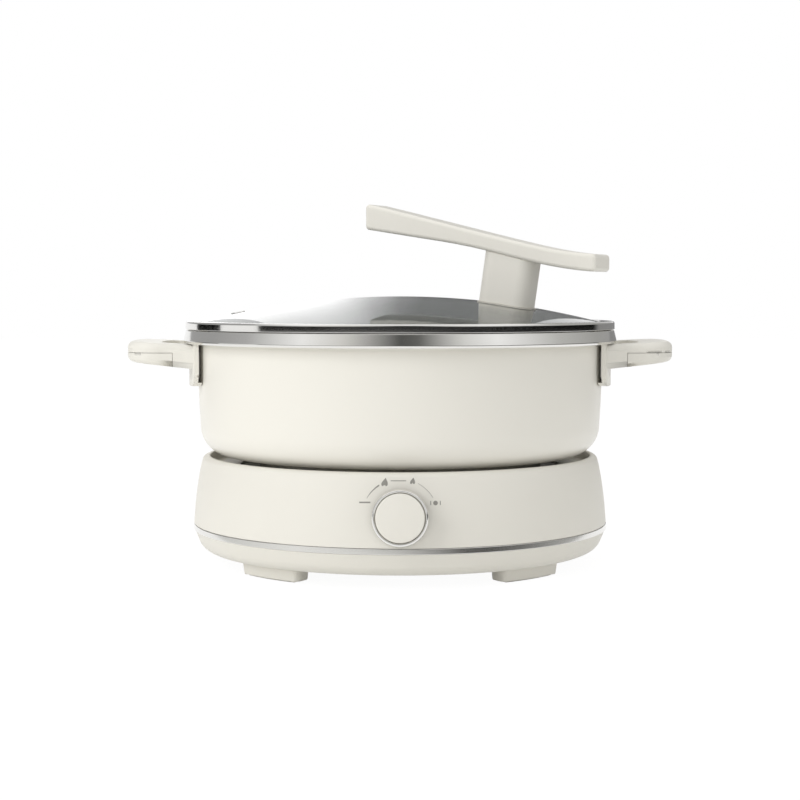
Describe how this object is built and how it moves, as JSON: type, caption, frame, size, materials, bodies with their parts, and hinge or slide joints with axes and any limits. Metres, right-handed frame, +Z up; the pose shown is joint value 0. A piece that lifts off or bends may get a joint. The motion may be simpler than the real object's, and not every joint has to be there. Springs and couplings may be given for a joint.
{
  "type": "electric hot pot",
  "caption": "Countertop electric hot pot: round heating base with a rotary control, lift-off pot with loop side handles, and a lift-off glass lid with a tall off-centre handle.",
  "frame": {"origin": "on the table, under the pot's axis", "axes": "+Z up; -Y towards the knob, the front; +X to the right seen from the front"},
  "size_m": [0.379, 0.3151, 0.2493],
  "materials": {
    "cream_shell": "satin moulded, pale cream",
    "cream_pot": "ceramic-coated, pale cream",
    "cream_plastic": "satin moulded, pale cream",
    "bright_steel": "polished",
    "satin_steel": "pressed sheet",
    "cast_plate": "cast, sanded top",
    "contact_disc": "turned",
    "element_sheath": "oxidised sheath",
    "lid_glass": "clear tempered",
    "seal_rubber": "silicone, pale",
    "foot_rubber": "silicone, pale grey",
    "inner_plastic": "heat-resistant moulding",
    "screw_steel": "zinc plated",
    "terminal_brass": "plated",
    "lead_sleeve": "glass-fibre sleeve"
  },
  "bodies": {
    "base": {"base_housing": "cream_shell", "bottom_pan": "cream_shell", "trim_ring": "bright_steel", "pan_screws": "screw_steel", "dish_screws": "screw_steel", "deck_dish": "satin_steel", "heating_plate": "cast_plate", "heating_element": "element_sheath", "plate_screws": "screw_steel", "sensor_bridge": "satin_steel", "bridge_screws": "screw_steel", "limit_thermostat": "inner_plastic", "control_body": "inner_plastic", "control_plate": "satin_steel", "control_screws": "screw_steel", "inlet_socket": "inner_plastic", "inlet_pins": "terminal_brass", "inlet_screws": "screw_steel", "foot_front_left": "cream_shell", "foot_front_right": "cream_shell", "foot_rear_left": "cream_shell", "foot_rear_right": "cream_shell", "foot_pads": "foot_rubber", "foot_screws": "screw_steel", "lead_neutral": "lead_sleeve", "lead_live": "lead_sleeve", "lead_switched": "lead_sleeve"},
    "knob": {"knob_ring": "bright_steel", "knob_cap": "cream_plastic", "knob_core": "inner_plastic", "knob_shaft": "screw_steel"},
    "sensor": {"sensor_cap": "contact_disc", "sensor_probe": "inner_plastic", "sensor_spring": "screw_steel"},
    "pot": {"pot_shell": "cream_pot", "pot_base": "contact_disc", "pot_rim_band": "bright_steel", "handle_grip_left": "cream_plastic", "handle_grip_right": "cream_plastic", "handle_insert_left": "cream_plastic", "handle_insert_right": "cream_plastic", "handle_bracket_left": "satin_steel", "handle_bracket_right": "satin_steel", "handle_screws_left": "screw_steel", "handle_screws_right": "screw_steel"},
    "lid": {"lid_rim": "bright_steel", "lid_glass": "lid_glass", "lid_gasket": "seal_rubber", "post_seal": "seal_rubber", "post_washer": "satin_steel", "post_screws": "screw_steel", "vent_grommet": "bright_steel", "handle_post": "cream_plastic", "handle_bar": "cream_plastic"}
  },
  "joints": [
    {"name": "knob_turn", "type": "hinge", "parent": "base", "child": "knob", "pos_m": [0, -0.1434, 0.0474], "axis": [0, 0.9962, -0.0872], "range_deg": [0, 142]},
    {"name": "sensor_press", "type": "slide", "parent": "base", "child": "sensor", "axis": [0, 0, 1], "range_m": [-0.002, 0], "stiffness_N_per_m": 600, "springref_m": 0.003, "deforming": ["sensor_spring"]},
    {"name": "pot_lift", "type": "slide", "parent": "base", "child": "pot", "axis": [0, 0, 1], "range_m": [0, 0.14]},
    {"name": "lid_lift", "type": "slide", "parent": "pot", "child": "lid", "axis": [0, 0, 1], "range_m": [0, 0.12]}
  ]
}
